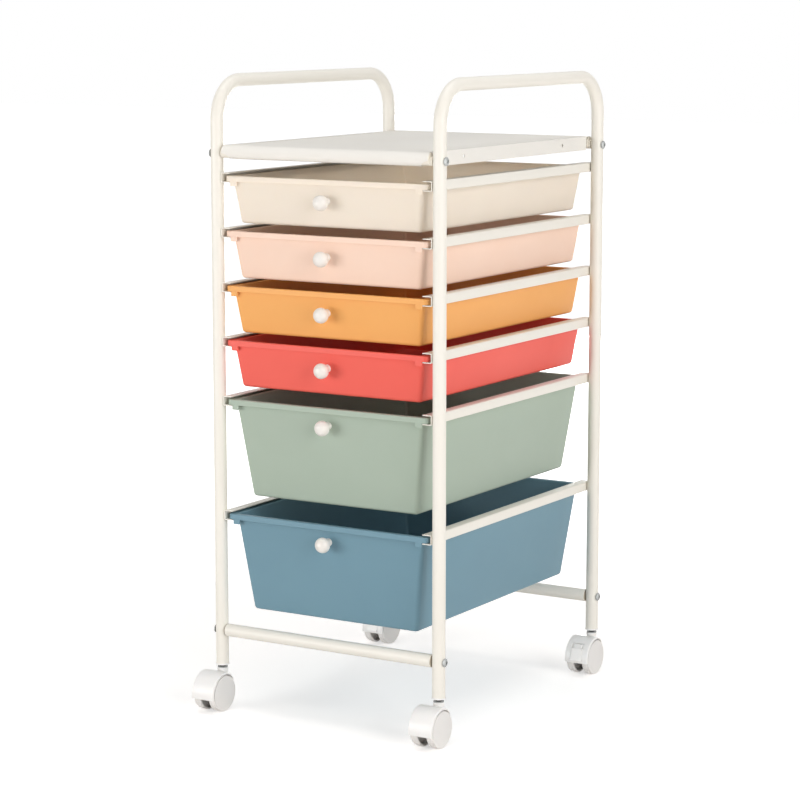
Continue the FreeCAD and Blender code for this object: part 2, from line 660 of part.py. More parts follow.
def caster_wheel(side, end, hand):
    """One wheel of a pair: round-edged tread, domed outer disc with a sloping band, blind bore."""
    inner = WHEEL_GAP / 2
    outer = inner + WHEEL_TREAD_WIDTH
    crown = outer + WHEEL_DOME
    disc_radius = wheel_radius - WHEEL_EDGE_ROUND
    band_radius = disc_radius - WHEEL_BAND_WIDTH
    band_top = outer + WHEEL_BAND_RISE
    bow = WHEEL_EDGE_ROUND * (1 - math.sqrt(0.5))
    inner_rim = Vector(inner, 0, disc_radius)
    tread_start = Vector(inner + WHEEL_EDGE_ROUND, 0, wheel_radius)
    tread_end = Vector(outer - WHEEL_EDGE_ROUND, 0, wheel_radius)
    outer_rim = Vector(outer, 0, disc_radius)
    band_edge = Vector(band_top, 0, band_radius)
    outline = Part.Wire([
        Part.makeLine(Vector(inner, 0, 0), inner_rim),
        Part.Arc(inner_rim, Vector(inner + bow, 0, wheel_radius - bow), tread_start).toShape(),
        Part.makeLine(tread_start, tread_end),
        Part.Arc(tread_end, Vector(outer - bow, 0, wheel_radius - bow), outer_rim).toShape(),
        Part.makeLine(outer_rim, band_edge),
        cap_arc(band_edge, Vector(crown, 0, 0)),
        Part.makeLine(Vector(crown, 0, 0), Vector(inner, 0, 0)),
    ])
    wheel = Part.Face(outline).revolve(Vector(0, 0, 0), ALONG_X, 360)
    bore_end = outer - WHEEL_BORE_COVER
    bore = rod(AXLE_DIAMETER / 2 + RUNNING_CLEARANCE, ALONG_X * (inner - OVERRUN), ALONG_X * bore_end)
    wheel = wheel.cut(bore)
    if hand < 0:
        wheel = wheel.mirror(Vector(0, 0, 0), ALONG_X)
    return at_caster(wheel, side, end)


def caster_axle(side, end):
    """Steel pin through the hood's web, a wheel on each end."""
    half_length = WHEEL_GAP / 2 + WHEEL_TREAD_WIDTH - WHEEL_BORE_COVER - AXLE_END_GAP
    return at_caster(axle_rod(AXLE_DIAMETER / 2, half_length), side, end)


def at_every_corner(make):
    """A group of four separate solids, one at each post."""
    return Part.makeCompound([make(side, end) for side in SIDES.values() for end in ENDS.values()])


def frame_nodes():
    """Everything that stays still: tubes, runners, shelf, bars and what fastens them."""
    nodes = {}
    for side in SIDES:
        nodes[side + "_side_tube"] = side_tube(side)
        for number, rim_height in enumerate(rim_heights, start=1):
            nodes["%s_runner_%d" % (side, number)] = runner(side, rim_height)
    nodes["top_shelf"] = top_shelf()
    nodes["shelf_end_plugs"] = at_every_corner(shelf_end_plug)
    for end in ENDS:
        nodes[end + "_cross_bar"] = cross_bar(end)
    nodes["cross_bar_inserts"] = at_every_corner(cross_bar_insert)
    nodes["shelf_screws"] = at_every_corner(lambda side, end: post_screw(side, end, shelf_screw_height))
    nodes["cross_bar_screws"] = at_every_corner(lambda side, end: post_screw(side, end, bar_height))
    nodes["post_sockets"] = at_every_corner(post_socket)
    nodes["caster_stems"] = at_every_corner(caster_stem)
    return nodes


def drawer_nodes():
    """Each drawer's box, knob and knob screw, set at the height of its rim."""
    nodes = {}
    for number, (kind, rim_height) in enumerate(zip(drawer_kinds, rim_heights), start=1):
        pieces = {"box": drawer_box(kind), "knob": knob(kind), "knob_screw": knob_screw(kind)}
        for name, shape in pieces.items():
            shape.translate(Vector(0, 0, rim_height))
            nodes["drawer_%d_%s" % (number, name)] = shape
    return nodes


def caster_nodes():
    """Each caster's hood, axle and pair of wheels, and a brake lever on the rear ones."""
    nodes = {}
    for end_name, end in ENDS.items():
        for side_name, side in SIDES.items():
            name = "%s_%s_caster" % (end_name, side_name)
            braked = end_name == "rear"
            nodes[name + "_hood"] = caster_hood(side, end, braked)
            nodes[name + "_axle"] = caster_axle(side, end)
            for hand_name, hand in SIDES.items():
                nodes["%s_%s_wheel" % (name, hand_name)] = caster_wheel(side, end, hand)
            if braked:
                nodes[name + "_brake_lever"] = brake_lever(side, end)
    return nodes


def write_parts():
    """Writes every node to its own file, with the middle of the part over the origin."""
    os.makedirs("parts", exist_ok=True)
    nodes = {**frame_nodes(), **drawer_nodes(), **caster_nodes()}
    for name, shape in nodes.items():
        shape.translate(Vector(0, middle_shift, 0))
        shape.exportStep("parts/%s.step" % name)
    print("%d nodes, handle top at %.1f mm" % (len(nodes), handle_height + tube_radius))


write_parts()
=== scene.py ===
# %% [markdown]
# # A rolling drawer cart
# The cart is two bent steel tubes, a sheet shelf, six plastic drawers and four casters.
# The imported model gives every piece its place, so the lesson starts by loading it.
# From then on the larger pieces are made again as finer surfaces in the same place, and the
# small ones only take a finish.

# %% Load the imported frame
import math

import bmesh
import bpy
import numpy as np
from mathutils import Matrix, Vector


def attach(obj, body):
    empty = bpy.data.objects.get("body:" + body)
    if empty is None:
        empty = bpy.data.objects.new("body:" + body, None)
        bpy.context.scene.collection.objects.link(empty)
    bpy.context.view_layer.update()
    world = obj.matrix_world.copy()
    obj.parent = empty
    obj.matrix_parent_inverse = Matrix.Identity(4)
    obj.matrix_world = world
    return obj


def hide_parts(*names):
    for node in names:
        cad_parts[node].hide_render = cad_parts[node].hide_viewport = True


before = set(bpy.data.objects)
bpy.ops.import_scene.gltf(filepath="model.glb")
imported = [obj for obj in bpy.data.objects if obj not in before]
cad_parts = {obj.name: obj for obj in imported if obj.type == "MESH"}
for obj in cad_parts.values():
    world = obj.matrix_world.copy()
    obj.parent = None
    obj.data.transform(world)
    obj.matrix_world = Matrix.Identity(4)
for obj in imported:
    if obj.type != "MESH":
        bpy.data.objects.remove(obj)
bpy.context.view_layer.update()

MM = 0.001

# %% [markdown]
# ## The camera
# A camera can be set by eye, or worked out from points that are known in the picture.
# Here points on the frame and the drawers were matched, which gives the turn round the cart, the
# tilt, the distance and the focal length in picture points.

# %% Set the camera
PHOTO_WIDTH = 800
FOCAL_LENGTH = 2581.2
SENSOR_WIDTH = 36.0
CAMERA_TURN = math.radians(31.22)
CAMERA_TILT = math.radians(8.88)
CAMERA_DISTANCE = 3277 * MM
CAMERA_AIM = Vector((-13.3, 10.1, 375.7)) * MM

ahead = Vector((
    -math.sin(CAMERA_TURN) * math.cos(CAMERA_TILT),
    math.cos(CAMERA_TURN) * math.cos(CAMERA_TILT),
    -math.sin(CAMERA_TILT),
))
camera = bpy.data.objects.new("camera", bpy.data.cameras.new("camera"))
bpy.context.scene.collection.objects.link(camera)
camera.data.sensor_width = SENSOR_WIDTH
camera.data.lens = FOCAL_LENGTH * SENSOR_WIDTH / PHOTO_WIDTH
camera.location = CAMERA_AIM - ahead * CAMERA_DISTANCE
camera.rotation_mode = "QUATERNION"
camera.rotation_quaternion = ahead.to_track_quat("-Z", "Y")
bpy.context.scene.camera = camera
print("camera at", [round(value, 3) for value in camera.location],
      "lens", round(camera.data.lens, 1))

# %% [markdown]
# ## Colours and nodes
# Colours are written as hex values, as a paint chart gives them. Shaders add light in a straight
# line, so one function undoes the curve that hex values carry. A second function adds one shader
# node with its settings and links, so that every finish below reads as a short list.

# %% Helpers for finishes


def linear(hex_colour):
    """Hex sRGB to linear red, green, blue and alpha: (c + 0.055) / 1.055 to the power 2.4."""
    channels = np.array([int(hex_colour[i:i + 2], 16) for i in (0, 2, 4)]) / 255
    curved = ((channels + 0.055) / 1.055) ** 2.4
    return (*np.where(channels <= 0.04045, channels / 12.92, curved), 1.0)


def add(tree, kind, inputs=(), **settings):
    """One node: settings go on the node, and inputs on its sockets, by value or by link."""
    node = tree.nodes.new(kind)
    for name, value in settings.items():
        setattr(node, name, value)
    for socket, value in dict(inputs).items():
        if isinstance(value, bpy.types.NodeSocket):
            tree.links.new(value, node.inputs[socket])
        else:
            node.inputs[socket].default_value = value
    return node


def new_material(name):
    """An empty node material and its coordinates, which are the cart's own."""
    material = bpy.data.materials.new(name)
    material.use_nodes = True
    material.node_tree.nodes.clear()
    place = add(material.node_tree, "ShaderNodeTexCoord")
    return material, material.node_tree, place.outputs["Object"]


print("mid grey in linear light:", round(linear("808080")[0], 3))

# %% [markdown]
# ## Uneven surfaces
# No real surface is quite even, and a perfectly even one looks drawn. An image could carry the
# unevenness, but a noise has no seams and fits every piece. Three small functions make a noise of
# a known width, a colour that drifts with it and a roughness that wanders with it.

# %% Noise, drifting colour and wandering roughness
# A colour mix keeps its two colours and its result under these socket numbers
MIX_FIRST, MIX_SECOND, MIX_RESULT = 6, 7, 2


def per_metre(size_in_mm):
    """Scale of a pattern whose features are that many millimetres wide."""
    return 1 / (size_in_mm * MM)


def soft_noise(tree, place, width, detail, distortion=0.0):
    """Noise whose blotches are that many millimetres wide."""
    noise = add(tree, "ShaderNodeTexNoise", {
        "Vector": place, "Scale": per_metre(width), "Detail": detail, "Distortion": distortion})
    return noise.outputs["Fac"]


def two_tone(tree, share, light, shade):
    """Colour that drifts between a light and a shaded tone."""
    mix = add(tree, "ShaderNodeMix", {
        "Factor": share, MIX_FIRST: linear(light), MIX_SECOND: linear(shade)}, data_type="RGBA")
    return mix.outputs[MIX_RESULT]


def uneven(tree, share, middle, spread):
    """Roughness that wanders below and above a middle value."""
    below, above = spread
    level = add(tree, "ShaderNodeMapRange", {
        "Value": share, "To Min": middle - below, "To Max": middle + above})
    return level.outputs["Result"]


print("scale of a pattern 2.5 mm wide:", round(per_metre(2.5)), "to the metre")

# %% [markdown]
# ## Painted steel
# The tubes, runners, bars and shelf are steel with a baked powder coat. The powder melts into a
# thick film that is slightly wavy, like the skin of an orange, so highlights have soft, uneven
# edges. A noise of a few millimetres drives a very small bump and a little of the roughness.
# The film lies more evenly on a flat sheet, so the shelf has a smoother coat of its own.

# %% Powder-coated steel
PEEL_WIDTH, PEEL_STRENGTH, PEEL_SPREAD = 2.5, 0.5, (0.05, 0.07)
CLOUD_WIDTH = 90.0


def powder_coat(name, light, shade, roughness, peel_height, gloss):
    """Baked powder coat on steel: warm white and satin, with orange peel in its highlights."""
    material, tree, place = new_material(name)
    peel = soft_noise(tree, place, PEEL_WIDTH, detail=2.0)
    cloud = soft_noise(tree, place, CLOUD_WIDTH, detail=3.0)
    bump = add(tree, "ShaderNodeBump", {
        "Height": peel, "Distance": peel_height * MM, "Strength": PEEL_STRENGTH})
    coat = add(tree, "ShaderNodeBsdfPrincipled", {
        "Base Color": two_tone(tree, cloud, light, shade),
        "Roughness": uneven(tree, peel, roughness, PEEL_SPREAD),
        "Normal": bump.outputs["Normal"], "Specular IOR Level": gloss})
    add(tree, "ShaderNodeOutputMaterial", {"Surface": coat.outputs["BSDF"]})
    return material


tube_coat = powder_coat(
    "powder_coated_steel_tube", "F2EEE5", "EEE9DE", roughness=0.40, peel_height=0.06, gloss=0.5)
sheet_coat = powder_coat(
    "powder_coated_steel_sheet", "F4F1EB", "F1EDE5", roughness=0.50, peel_height=0.03, gloss=0.03)
print("made", tube_coat.name, "and", sheet_coat.name)

# %% [markdown]
# ## Moulded plastic
# The drawers are polypropylene, injected into a mould whose steel was spark-eroded. That leaves a
# fine even grain, so the walls look satin, and the plastic lets a little light in, which softens
# its shade. Where the melt flowed, the colour drifts very slightly over some centimetres.

# %% Build a plastic
GRAIN_WIDTH, GRAIN_STRENGTH, GRAIN_SPREAD = 0.9, 0.4, (0.04, 0.06)
FLOW_WIDTH, FLOW_SWIRL = 70.0, 0.6
DEPTH_WIDTH, DEPTH_COLOUR = 2.0, (1.0, 0.8, 0.6)
PLASTIC_IOR = 1.49


def moulded_plastic(name, light, shade, roughness, grain_height, depth, gloss, through=0.0):
    """Injection-moulded plastic: an even colour that drifts a little, a fine grain, a soft depth.

    The real grain is about a third of a millimetre wide and is drawn coarser so that it shows.
    A pale colour also lets through a share of the light that falls on its other side.
    """
    material, tree, place = new_material(name)
    grain = soft_noise(tree, place, GRAIN_WIDTH, detail=1.0)
    flow = soft_noise(tree, place, FLOW_WIDTH, detail=2.0, distortion=FLOW_SWIRL)
    tint = two_tone(tree, flow, light, shade)
    bump = add(tree, "ShaderNodeBump", {
        "Height": grain, "Distance": grain_height * MM, "Strength": GRAIN_STRENGTH})
    plastic = add(tree, "ShaderNodeBsdfPrincipled", {
        "Base Color": tint, "Roughness": uneven(tree, grain, roughness, GRAIN_SPREAD),
        "Normal": bump.outputs["Normal"], "IOR": PLASTIC_IOR, "Subsurface Weight": depth,
        "Subsurface Radius": DEPTH_COLOUR, "Subsurface Scale": DEPTH_WIDTH * MM,
        "Specular IOR Level": gloss})
    surface = plastic.outputs["BSDF"]
    if through:
        glow = add(tree, "ShaderNodeBsdfTranslucent", {"Color": tint})
        both = add(tree, "ShaderNodeMixShader", {0: through, 1: surface, 2: glow.outputs["BSDF"]})
        surface = both.outputs["Shader"]
    add(tree, "ShaderNodeOutputMaterial", {"Surface": surface})
    return material


print("grain", GRAIN_WIDTH, "mm wide, flow marks", FLOW_WIDTH, "mm wide")

# %% [markdown]
# ## The cart's plastics
# Each drawer has a colour of its own, given as two close tones. The cream one is so pale that light
# glows through it. The knobs, hoods and wheels come from polished moulds and are glossier. The
# inserts and plugs that hold the screws are plain polyethylene. The inserts' darker grey-tan and
# the near-black web between the wheels are painted shade.

# %% Mix the plastics
DRAWER_COLOURS = {
    "cream": ("FFF8ED", "FDF4E8"),
    "peach": ("F9DBC8", "F6D4BF"),
    "orange": ("F4B268", "F0AB5F"),
    "coral": ("F36A5D", "EE6256"),
    "sage": ("AEBCAD", "A9B8A8"),
    "blue": ("7599A8", "7194A4"),
}
LIGHT_THROUGH = {"cream": 0.33}
DRAWER_GRAIN = {"roughness": 0.42, "grain_height": 0.02, "depth": 0.08, "gloss": 0.25}
drawer_plastics = {
    colour: moulded_plastic(
        "moulded_polypropylene_" + colour, light, shade,
        through=LIGHT_THROUGH.get(colour, 0.0), **DRAWER_GRAIN)
    for colour, (light, shade) in DRAWER_COLOURS.items()
}
knob_plastic = moulded_plastic(
    "moulded_abs_white", "EEEAE4", "EBE6DF",
    roughness=0.28, grain_height=0.008, depth=0.05, gloss=0.5)
hood_plastic = moulded_plastic(
    "moulded_polyamide_white", "F8F6F4", "F5F3F0",
    roughness=0.34, grain_height=0.012, depth=0.05, gloss=0.5)
wheel_plastic = moulded_plastic(
    "moulded_polyamide_pale_grey", "ECE9E6", "E8E5E1",
    roughness=0.36, grain_height=0.012, depth=0.05, gloss=0.5)
# The inserts' grey-tan colour is painted shade for the shaded line where the bars meet the posts
insert_plastic_painted_shade = moulded_plastic(
    "polyethylene_insert_painted_shade_grey", "B7AD9C", "AFA593",
    roughness=0.5, grain_height=0.02, depth=0.0, gloss=0.3)
plug_plastic = moulded_plastic(
    "moulded_polyethylene_cream", "F1EBDF", "ECE6D9",
    roughness=0.5, grain_height=0.02, depth=0.05, gloss=0.3)
# The web's near-black colour is painted shade for the slot between the two wheels
web_plastic_painted_shade = moulded_plastic(
    "polyamide_web_painted_shade_black", "2C2A29", "262423",
    roughness=0.45, grain_height=0.012, depth=0.0, gloss=0.4)
print("drawer plastics:", ", ".join(drawer_plastics))

# %% [markdown]
# ## Bare metal
# The screws are zinc plated: pale, slightly milky metal with fine turning marks. The caster stems
# are given a nearly black steel colour, which is painted shade for the gap under the posts. Both
# are metals, so their colour is in the reflection, and a fine noise breaks that reflection up.

# %% Plated steel, and steel painted dark as shade
MARK_WIDTH, MARK_SPREAD = 0.8, (0.08, 0.12)


def bare_steel(name, light, shade, roughness):
    """Turned steel: coloured reflection, finely broken up; a near-black colour is painted shade."""
    material, tree, place = new_material(name)
    marks = soft_noise(tree, place, MARK_WIDTH, detail=4.0)
    steel = add(tree, "ShaderNodeBsdfPrincipled", {
        "Base Color": two_tone(tree, marks, light, shade),
        "Roughness": uneven(tree, marks, roughness, MARK_SPREAD), "Metallic": 1.0})
    add(tree, "ShaderNodeOutputMaterial", {"Surface": steel.outputs["BSDF"]})
    return material


zinc_steel = bare_steel("zinc_plated_turned_steel", "B0B2B1", "A2A4A3", roughness=0.6)
# The stems' near-black colour is painted shade for the gap between the tube foot and the collar
stem_steel_painted_shade = bare_steel("turned_steel_painted_shade_dark", "2C2A28", "1C1B1A", roughness=0.45)
print("made", zinc_steel.name, "and", stem_steel_painted_shade.name)

# %% [markdown]
# ## From rings to a surface
# A tube, a drawer, a knob and a wheel are all the same idea: a closed ring of points that changes
# size or place along a path. One function skins such rings with quads and caps both ends, so every
# piece below only has to say where its rings are. Working in whole arrays keeps it short and exact.

# %% Skins and pieces
CREASE_ANGLE = math.radians(32)


def skin(rings):
    """Skin over closed rings: ring i joins ring i + 1 by quads, with a flat cap at each end."""
    count, around = rings.shape[:2]
    index = np.arange(count * around).reshape(count, around)
    beside = np.roll(index, -1, axis=1)
    quads = np.stack([index[:-1], beside[:-1], beside[1:], index[1:]], axis=-1).reshape(-1, 4)
    caps = [index[0, ::-1].tolist(), index[-1].tolist()]
    return rings.reshape(-1, 3), quads.tolist() + caps


def make_piece(name, skins, body, material, nodes=()):
    """One object from closed skins in millimetres: normals out, soft shading, hard creases."""
    points, faces, start = [], [], 0
    for skin_points, skin_faces in skins:
        points.append(skin_points)
        faces += [[corner + start for corner in face] for face in skin_faces]
        start += len(skin_points)
    mesh = bpy.data.meshes.new(name)
    mesh.from_pydata((np.concatenate(points) * MM).tolist(), [], faces)
    work = bmesh.new()
    work.from_mesh(mesh)
    bmesh.ops.recalc_face_normals(work, faces=work.faces)
    work.to_mesh(mesh)
    work.free()
    mesh.shade_smooth()
    mesh.set_sharp_from_angle(angle=CREASE_ANGLE)
    mesh.materials.append(material)
    piece = bpy.data.objects.new(name, mesh)
    bpy.context.scene.collection.objects.link(piece)
    if body:
        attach(piece, body)
    if nodes:
        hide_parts(*nodes)
    return piece


print("two rings of four points make", len(skin(np.zeros((2, 4, 3)))[1]), "faces")

# %% [markdown]
# ## The side tubes
# Each side is one steel tube bent twice, so that two posts and a push handle are a single piece.
# A curve object with a bevel would do, but a swept circle gives exact control: straight runs need
# only their ends, and the bends get many rings so that the highlight runs round them smoothly.

# %% Bend the side tubes
SIDES = {"left": -1, "right": 1}
POST_X = 157.0
FRONT_POST_Y, REAR_POST_Y = -181.8, 218.2
MIDDLE_Y = (FRONT_POST_Y + REAR_POST_Y) / 2
TUBE_RADIUS = 8.0
TUBE_FOOT = 56.8
HANDLE_HEIGHT = 781.1
BEND_RADIUS = 48.0
CIRCLE_STEPS = 56
BEND_RINGS = 50


def circle_angles(steps=CIRCLE_STEPS):
    """Angles once round a circle, without repeating the first."""
    return np.arange(steps) * 2 * np.pi / steps


def side_tube_rings(x):
    """Circle carried along post, quarter bend, handle, quarter bend and post.

    Along the path the outward direction turns from front, through up, to rear; each ring is the
    centre plus radius times (cosine of outward, sine of sideways).
    """
    turns = np.linspace(np.pi, 0, BEND_RINGS)
    bend_y = np.where(turns > np.pi / 2, FRONT_POST_Y + BEND_RADIUS, REAR_POST_Y - BEND_RADIUS)
    bend_z = HANDLE_HEIGHT - BEND_RADIUS
    path_y = np.concatenate(
        [[FRONT_POST_Y], bend_y + BEND_RADIUS * np.cos(turns), [REAR_POST_Y]])
    path_z = np.concatenate([[TUBE_FOOT], bend_z + BEND_RADIUS * np.sin(turns), [TUBE_FOOT]])
    facing = np.concatenate([[np.pi], turns, [0]])[:, None]
    around = circle_angles()
    out = TUBE_RADIUS * np.cos(around)
    ring_x = np.broadcast_to(x + TUBE_RADIUS * np.sin(around), (len(path_y), len(around)))
    ring_y = path_y[:, None] + out * np.cos(facing)
    ring_z = path_z[:, None] + out * np.sin(facing)
    return np.stack([ring_x, ring_y, ring_z], axis=-1)


for side, sign in SIDES.items():
    tube = make_piece(side + "_bent_tube", [skin(side_tube_rings(sign * POST_X))],
                      "frame", tube_coat, [side + "_side_tube"])
    print(tube.name, len(tube.data.polygons), "faces")

# %% [markdown]
# ## The runners
# The drawers hang in channels of folded sheet, welded to the inside of the posts. A fold in sheet
# is never sharp: its outside radius is a little more than the sheet's thickness. So the C-shaped
# outline is rounded corner by corner and carried straight from front to back.

# %% Outlines with round corners
ALONG_X, ALONG_Y = 0, 1


def rounded_outline(corners, radii, steps=7):
    """Closed flat outline: each corner becomes an arc of its radius that touches both sides."""
    corners = np.asarray(corners, float)
    radii = np.broadcast_to(np.asarray(radii, float), len(corners))[:, None]
    back = np.roll(corners, 1, axis=0) - corners
    on = np.roll(corners, -1, axis=0) - corners
    back /= np.linalg.norm(back, axis=1, keepdims=True)
    on /= np.linalg.norm(on, axis=1, keepdims=True)
    half = np.arccos((back * on).sum(axis=1, keepdims=True)) / 2
    inward = (back + on) / np.linalg.norm(back + on, axis=1, keepdims=True)
    centre = corners + inward * radii / np.sin(half)
    start = corners + back * radii / np.tan(half) - centre
    finish = corners + on * radii / np.tan(half) - centre
    turn = np.pi - 2 * half
    share = np.linspace(0, 1, steps)
    from_start = (np.sin((1 - share) * turn) / np.sin(turn))[..., None]
    from_finish = (np.sin(share * turn) / np.sin(turn))[..., None]
    arcs = centre[:, None] + from_start * start[:, None] + from_finish * finish[:, None]
    return arcs.reshape(-1, 2)


def carried(outline, span, axis):
    """Flat outline carried straight along x or y between two places."""
    along = np.repeat(np.array(span, float)[:, None], len(outline), axis=1)
    sides = [column + 0 * along for column in np.asarray(outline).T]
    sides.insert(axis, along)
    return np.stack(sides, axis=-1)


square = rounded_outline([(0, 0), (1, 0), (1, 1), (0, 1)], 0.2)
print("a square with round corners has", len(square), "points")

# %% Fold the runners
RUNNER_TIP_X, RUNNER_BACK_X = 136.5, 149.0
RUNNER_FRONT_Y, RUNNER_REAR_Y = -186.6, 223.0
RUNNER_HEIGHT = 12.0
RUNNER_SHEET = 1.0
RUNNER_DROP = 1.3
RIM_HEIGHTS = [660.0, 593.0, 526.0, 459.0, 385.6, 242.3]
TIP_ROUND, FOLD_OUTSIDE, FOLD_INSIDE = 0.3, 1.6, 0.6
FOLD_STEPS = 5


def runner_rings(sign, bottom):
    """C outline in x and z, with round folds, carried along y."""
    tip, back, sheet = RUNNER_TIP_X, RUNNER_BACK_X, RUNNER_SHEET
    top = bottom + RUNNER_HEIGHT
    corners = [
        (tip, bottom), (back, bottom), (back, top), (tip, top), (tip, top - sheet),
        (back - sheet, top - sheet), (back - sheet, bottom + sheet), (tip, bottom + sheet)]
    radii = [
        TIP_ROUND, FOLD_OUTSIDE, FOLD_OUTSIDE, TIP_ROUND,
        TIP_ROUND, FOLD_INSIDE, FOLD_INSIDE, TIP_ROUND]
    outline = rounded_outline(corners, radii, FOLD_STEPS)
    return carried(outline * (sign, 1), (RUNNER_FRONT_Y, RUNNER_REAR_Y), ALONG_Y)


for side, sign in SIDES.items():
    for number, rim_height in enumerate(RIM_HEIGHTS, start=1):
        rings = runner_rings(sign, rim_height - RUNNER_DROP)
        make_piece("%s_folded_runner_%d" % (side, number), [skin(rings)],
                   "frame", tube_coat, ["%s_runner_%d" % (side, number)])
print("runners:", len(SIDES) * len(RIM_HEIGHTS))

# %% [markdown]
# ## The shelf
# The top is one sheet of steel. Its front and rear edges are rolled under into stiff tubes, and
# its sides are folded down as narrow flanges. The rolled sheet is one closed outline, out along
# the top and back along the underside, carried from left to right. Near the ends the roll is cut
# away from below, so there the outline stops at a smaller angle of roll.

# %% Roll the shelf
SHELF_TOP = 704.3
SHELF_HALF = 146.0
SHELF_SHEET = 1.0
SHELF_FOLD = 0.8
ROLL_RADIUS = 8.5
ROLL_LIP = math.radians(310)
TRIM_LENGTH, TRIM_HEIGHT = 12.0, 7.0
FLANGE_HEIGHT = 17.5
FLANGE_HALF_Y = 190.0
TRIM_CURVE, TRIM_EASE = 1.6, 0.8
# Rings of the trimmed end; the last two stand together, where the roll steps to its full lip
TRIM_PLACES = np.array([0, 0.4, 1, 2, 3, 4.5, 6, 7.5, 9, 10.2, 11.2, 11.99, TRIM_LENGTH])
ROLL_STEPS = 30


def trimmed_lip(from_end):
    """Angle at which the roll stops: its lip, or where its outside rises to the trimmed height.

    Over the last few millimetres that height is 7 x (1 - (t / 12) ^ 1.6) ^ 0.8.
    """
    share = np.clip(from_end / TRIM_LENGTH, 0, 1)
    height = TRIM_HEIGHT * (1 - share ** TRIM_CURVE) ** TRIM_EASE
    stop = np.pi + np.arcsin((ROLL_RADIUS - height) / ROLL_RADIUS)
    return np.where(from_end < TRIM_LENGTH, stop, ROLL_LIP)


def roll_arc(end, radius, first, last):
    """Arc of a roll for every ring: 90 degrees is its top and 180 its outer side."""
    angles = first[:, None] + (last - first)[:, None] * np.linspace(0, 1, ROLL_STEPS)
    post = (REAR_POST_Y - FRONT_POST_Y) / 2
    y = MIDDLE_Y + end * (post - radius * np.cos(angles))
    return np.stack([y, SHELF_TOP - ROLL_RADIUS + radius * np.sin(angles)], axis=-1)


def shelf_rings():
    """Sheet outline carried along x: front roll, top, rear roll, and back along the inside."""
    half = SHELF_HALF - SHELF_FOLD
    x = np.concatenate([TRIM_PLACES - half, half - TRIM_PLACES[::-1]])
    lip = trimmed_lip(TRIM_PLACES)
    lip = np.concatenate([lip, lip[::-1]])
    top = np.full_like(lip, np.pi / 2)
    inner = ROLL_RADIUS - SHELF_SHEET
    arcs = [
        roll_arc(-1, ROLL_RADIUS, lip, top), roll_arc(1, ROLL_RADIUS, top, lip),
        roll_arc(1, inner, lip, top), roll_arc(-1, inner, top, lip)]
    section = np.concatenate(arcs, axis=1)
    across = np.broadcast_to(x[:, None], section.shape[:2])
    return np.concatenate([across[..., None], section], axis=-1)


def flange_rings(sign):
    """Upright strip with a round top fold, carried along y between the rolls."""
    inner = SHELF_HALF - SHELF_SHEET
    foot = SHELF_TOP - FLANGE_HEIGHT
    corners = [(inner, foot), (SHELF_HALF, foot), (SHELF_HALF, SHELF_TOP), (inner, SHELF_TOP)]
    radii = [TIP_ROUND, TIP_ROUND, SHELF_FOLD, TIP_ROUND / 2]
    outline = rounded_outline(corners, radii, FOLD_STEPS)
    span = (MIDDLE_Y - FLANGE_HALF_Y, MIDDLE_Y + FLANGE_HALF_Y)
    return carried(outline * (sign, 1), span, ALONG_Y)


sheets = [shelf_rings()] + [flange_rings(sign) for sign in SIDES.values()]
shelf = make_piece("rolled_shelf", [skin(rings) for rings in sheets],
                   "frame", sheet_coat, ["top_shelf"])
print(shelf.name, len(shelf.data.polygons), "faces")

# %% [markdown]
# ## Holes in the shelf
# Each side flange has two small round holes. Drawing the sheet round them would be long work, so a
# Boolean modifier takes closed cutters away from it. The result is kept as the piece's own mesh,
# and the cutters are deleted.

# %% Drill the shelf
HOLE_RADIUS = 2.0
HOLE_Y = 125.0
SMALL_STEPS = 24


def round_bar(start, end, radius, steps=CIRCLE_STEPS):
    """Circle carried along x between two points."""
    around = circle_angles(steps)
    circle = [start[1] + radius * np.cos(around), start[2] + radius * np.sin(around)]
    return carried(np.stack(circle, axis=1), (start[0], end[0]), ALONG_X)


def carve(piece, cutter_skins):
    """Cuts closed skins out of a piece and keeps the result as its mesh."""
    cutter = make_piece(piece.name + "_cutter", cutter_skins, None, piece.data.materials[0])
    cut = piece.modifiers.new("cut", "BOOLEAN")
    cut.object = cutter
    cut.solver = "EXACT"
    graph = bpy.context.evaluated_depsgraph_get()
    carved = bpy.data.meshes.new_from_object(piece.evaluated_get(graph))
    piece.modifiers.clear()
    piece.data = carved
    carved.set_sharp_from_angle(angle=CREASE_ANGLE)
    bpy.data.objects.remove(cutter)


hole_height = SHELF_TOP - ROLL_RADIUS
holes = []
for sign in SIDES.values():
    for end in (-1, 1):
        near = (sign * (SHELF_HALF - 2 * SHELF_SHEET), MIDDLE_Y + end * HOLE_Y, hole_height)
        far = (sign * (SHELF_HALF + SHELF_SHEET), near[1], hole_height)
        holes.append(skin(round_bar(near, far, HOLE_RADIUS, SMALL_STEPS)))
carve(shelf, holes)
print(shelf.name, "has", len(holes), "holes and", len(shelf.data.polygons), "faces")

# %% [markdown]
# ## The cross bars
# Low down, a round tube joins the two sides at the front and at the rear. It stops just short of
# the posts, so the plastic insert that holds its screw shows as a narrow line at each end. The
# insert is real, and its darker grey-tan colour is painted shade for that line.

# %% Fit the cross bars
BAR_RADIUS = 8.0
BAR_HEIGHT = 99.8
BAR_HALF = 149.0
BAR_GAP = 0.8
BAR_EDGE = 0.5
INSERT_LENGTH, INSERT_RADIUS = 2.4, 7.0
POSTS_Y = {"front": FRONT_POST_Y, "rear": REAR_POST_Y}
# Along a quarter round: the share of its radius still to go one way, and gained the other way
QUARTER = np.linspace(0, np.pi / 2, 8)
TO_GO, GAINED = 1 - np.sin(QUARTER), 1 - np.cos(QUARTER)


